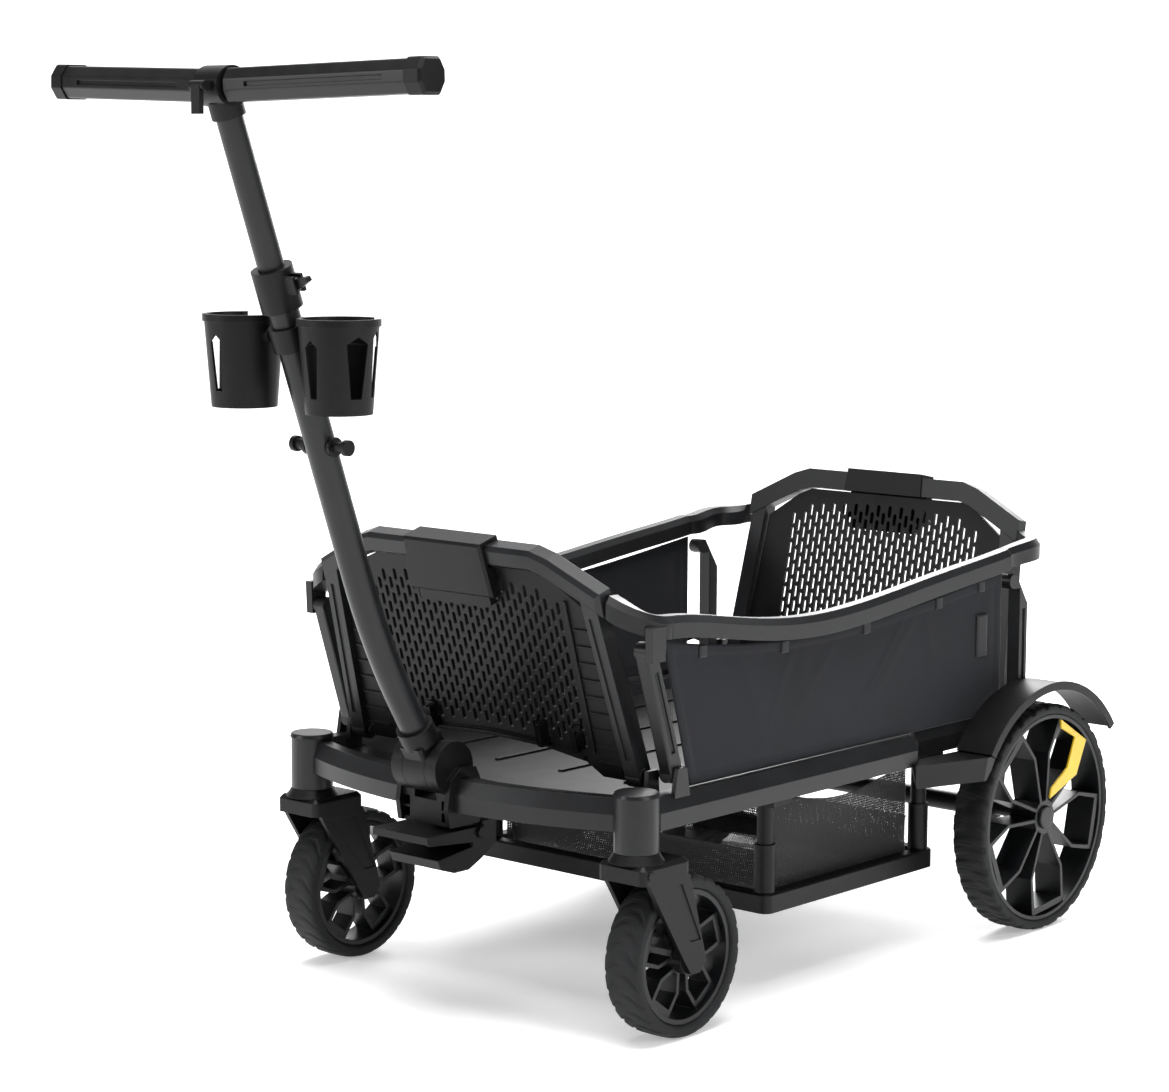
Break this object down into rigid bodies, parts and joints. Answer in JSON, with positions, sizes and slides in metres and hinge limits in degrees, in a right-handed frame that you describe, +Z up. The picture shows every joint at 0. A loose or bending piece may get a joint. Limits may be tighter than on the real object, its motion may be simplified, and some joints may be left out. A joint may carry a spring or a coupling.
{
  "type": "kids pull wagon",
  "caption": "Folding pull wagon with perforated end walls, drop-down side rails, swivelling front castors, large rear wheels, a mesh under-basket and a telescopic T handle with cup holders.",
  "frame": {"origin": "on the ground, at the middle of the bounding box's length and width", "axes": "+X forward towards the pull handle, +Y to the wagon's left, +Z up"},
  "size_m": [1.3378, 0.658, 1.1134],
  "materials": {
    "frame_paint": "satin dark grey paint",
    "black_plastic": "fine-grained black plastic",
    "grip_rubber": "soft black grip",
    "clip_plastic": "polished black",
    "wheel_plastic": "satin black plastic",
    "tyre": "matt rubber",
    "accent": "yellow",
    "fabric": "charcoal woven polyester",
    "mesh": "black polyester mesh"
  },
  "bodies": {
    "chassis": {"side_tubes": "frame_paint", "front_bumper": "frame_paint", "cross_tubes": "frame_paint", "castor_sleeves": "frame_paint", "floor_panel": "black_plastic", "rear_axle": "frame_paint", "fenders": "black_plastic", "basket_posts": "black_plastic", "basket_rim": "black_plastic", "basket_mesh": "mesh", "handle_bracket": "black_plastic", "pedal_housing": "black_plastic", "pivot_brackets": "frame_paint", "side_fabric_left": "fabric", "side_fabric_right": "fabric"},
    "pedal": {"foot_pedal": "black_plastic"},
    "handle": {"handle_barrel": "black_plastic", "lower_tube": "frame_paint", "tube_collar": "black_plastic", "cup_band": "black_plastic", "hook_pin": "black_plastic"},
    "collar_lever": {"collar_lever": "black_plastic"},
    "upper_handle": {"upper_tube": "frame_paint", "bar_clamp": "black_plastic", "grips": "grip_rubber", "grip_caps": "black_plastic"},
    "bar_lever": {"clamp_lever": "black_plastic"},
    "front_wall": {"front_wall_frame": "frame_paint", "front_wall_panel": "black_plastic", "front_release_box": "black_plastic", "accessory_clips": "clip_plastic"},
    "front_paddle": {"front_release_paddle": "black_plastic"},
    "rear_wall": {"rear_wall_frame": "frame_paint", "rear_wall_panel": "black_plastic", "rear_release_box": "black_plastic"},
    "rear_paddle": {"rear_release_paddle": "black_plastic"},
    "cup_left": {"cup_holder_left": "black_plastic"},
    "castor_left": {"castor_fork_left": "black_plastic"},
    "castor_button_left": {"castor_button_left": "black_plastic"},
    "front_wheel_left": {"front_wheel_rim_left": "wheel_plastic", "front_tyre_left": "tyre"},
    "rear_wheel_left": {"rear_wheel_rim_left": "wheel_plastic", "rear_tyre_left": "tyre", "wheel_accent_left": "accent"},
    "hub_button_left": {"hub_button_left": "wheel_plastic"},
    "front_strut_left": {"front_strut_left": "frame_paint"},
    "rail_left": {"side_rail_left": "frame_paint"},
    "rear_post_left": {"rear_post_left": "frame_paint"},
    "cup_right": {"cup_holder_right": "black_plastic"},
    "castor_right": {"castor_fork_right": "black_plastic"},
    "castor_button_right": {"castor_button_right": "black_plastic"},
    "front_wheel_right": {"front_wheel_rim_right": "wheel_plastic", "front_tyre_right": "tyre"},
    "rear_wheel_right": {"rear_wheel_rim_right": "wheel_plastic", "rear_tyre_right": "tyre", "wheel_accent_right": "accent"},
    "hub_button_right": {"hub_button_right": "wheel_plastic"},
    "front_strut_right": {"front_strut_right": "frame_paint"},
    "rail_right": {"side_rail_right": "frame_paint"},
    "rear_post_right": {"rear_post_right": "frame_paint"}
  },
  "joints": [
    {"name": "handle_tilt", "type": "hinge", "parent": "chassis", "child": "handle", "pos_m": [0.31114, 0, 0.301], "axis": [0, 1, 0], "range_deg": [-18, 62]},
    {"name": "handle_slide", "type": "slide", "parent": "handle", "child": "upper_handle", "axis": [0.3416, 0, 0.9399], "range_m": [-0.15, 0]},
    {"name": "collar_lever_turn", "type": "hinge", "parent": "handle", "child": "collar_lever", "pos_m": [0.55529, 0.032, 0.87392], "axis": [-0.9399, 0, 0.3416], "range_deg": [-60, 0]},
    {"name": "bar_lever_turn", "type": "hinge", "parent": "upper_handle", "child": "bar_lever", "pos_m": [0.66336, 0, 1.086], "axis": [0, 1, 0], "range_deg": [-100, 0]},
    {"name": "pedal_press", "type": "hinge", "parent": "chassis", "child": "pedal", "pos_m": [0.27514, 0, 0.221], "axis": [0, 1, 0], "range_deg": [0, 8], "stiffness_Nm_per_rad": 4},
    {"name": "front_wall_fold", "type": "hinge", "parent": "chassis", "child": "front_wall", "pos_m": [0.20014, 0, 0.3], "axis": [0, 1, 0], "range_deg": [-106.5, 0]},
    {"name": "rear_wall_fold", "type": "hinge", "parent": "chassis", "child": "rear_wall", "pos_m": [-0.54486, 0, 0.3], "axis": [0, 1, 0], "range_deg": [0, 101.5]},
    {"name": "front_paddle_lift", "type": "slide", "parent": "front_wall", "child": "front_paddle", "axis": [0.284, 0, 0.9588], "range_m": [0, 0.006], "stiffness_N_per_m": 600},
    {"name": "rear_paddle_lift", "type": "slide", "parent": "rear_wall", "child": "rear_paddle", "axis": [-0.1994, 0, 0.9799], "range_m": [0, 0.006], "stiffness_N_per_m": 600},
    {"name": "cup_swing_left", "type": "hinge", "parent": "handle", "child": "cup_left", "pos_m": [0.53388, 0.076, 0.815], "axis": [0, 1, 0], "range_deg": [-62, 18]},
    {"name": "castor_swivel_left", "type": "hinge", "parent": "chassis", "child": "castor_left", "pos_m": [0.25214, 0.266, 0.228], "axis": [0, 0, 1], "continuous": true},
    {"name": "castor_button_press_left", "type": "slide", "parent": "castor_left", "child": "castor_button_left", "axis": [0, -1, 0], "range_m": [0, 0.002], "stiffness_N_per_m": 400},
    {"name": "front_wheel_spin_left", "type": "hinge", "parent": "castor_left", "child": "front_wheel_left", "pos_m": [0.18614, 0.266, 0.0955], "axis": [0, 1, 0], "continuous": true},
    {"name": "rear_wheel_spin_left", "type": "hinge", "parent": "chassis", "child": "rear_wheel_left", "pos_m": [-0.51886, 0.296, 0.15], "axis": [0, 1, 0], "continuous": true},
    {"name": "hub_button_press_left", "type": "slide", "parent": "rear_wheel_left", "child": "hub_button_left", "axis": [0, -1, 0], "range_m": [0, 0.003], "stiffness_N_per_m": 400},
    {"name": "side_fold_left", "type": "hinge", "parent": "chassis", "child": "front_strut_left", "pos_m": [0.18514, 0.262, 0.307], "axis": [0, 1, 0], "range_deg": [0, 64], "deforming": ["side_fabric_left"]},
    {"name": "rail_level_left", "type": "hinge", "parent": "front_strut_left", "child": "rail_left", "pos_m": [0.23314, 0.262, 0.455], "axis": [0, 1, 0], "range_deg": [-64, 0]},
    {"name": "rear_post_turn_left", "type": "hinge", "parent": "chassis", "child": "rear_post_left", "pos_m": [-0.55086, 0.262, 0.312], "axis": [0, 1, 0], "range_deg": [0, 64]},
    {"name": "cup_swing_right", "type": "hinge", "parent": "handle", "child": "cup_right", "pos_m": [0.53388, -0.076, 0.815], "axis": [0, 1, 0], "range_deg": [-62, 18]},
    {"name": "castor_swivel_right", "type": "hinge", "parent": "chassis", "child": "castor_right", "pos_m": [0.25214, -0.266, 0.228], "axis": [0, 0, 1], "continuous": true},
    {"name": "castor_button_press_right", "type": "slide", "parent": "castor_right", "child": "castor_button_right", "axis": [0, 1, 0], "range_m": [0, 0.002], "stiffness_N_per_m": 400},
    {"name": "front_wheel_spin_right", "type": "hinge", "parent": "castor_right", "child": "front_wheel_right", "pos_m": [0.18614, -0.266, 0.0955], "axis": [0, 1, 0], "continuous": true},
    {"name": "rear_wheel_spin_right", "type": "hinge", "parent": "chassis", "child": "rear_wheel_right", "pos_m": [-0.51886, -0.296, 0.15], "axis": [0, 1, 0], "continuous": true},
    {"name": "hub_button_press_right", "type": "slide", "parent": "rear_wheel_right", "child": "hub_button_right", "axis": [0, 1, 0], "range_m": [0, 0.003], "stiffness_N_per_m": 400},
    {"name": "side_fold_right", "type": "hinge", "parent": "chassis", "child": "front_strut_right", "pos_m": [0.18514, -0.262, 0.307], "axis": [0, 1, 0], "range_deg": [0, 64], "deforming": ["side_fabric_right"]},
    {"name": "rail_level_right", "type": "hinge", "parent": "front_strut_right", "child": "rail_right", "pos_m": [0.23314, -0.262, 0.455], "axis": [0, 1, 0], "range_deg": [-64, 0]},
    {"name": "rear_post_turn_right", "type": "hinge", "parent": "chassis", "child": "rear_post_right", "pos_m": [-0.55086, -0.262, 0.312], "axis": [0, 1, 0], "range_deg": [0, 64]}
  ],
  "couplings": [
    {"joint": "rail_level_left", "follows": "side_fold_left", "ratio": -1},
    {"joint": "rear_post_turn_left", "follows": "side_fold_left", "ratio": 1},
    {"joint": "rail_level_right", "follows": "side_fold_right", "ratio": -1},
    {"joint": "rear_post_turn_right", "follows": "side_fold_right", "ratio": 1}
  ]
}
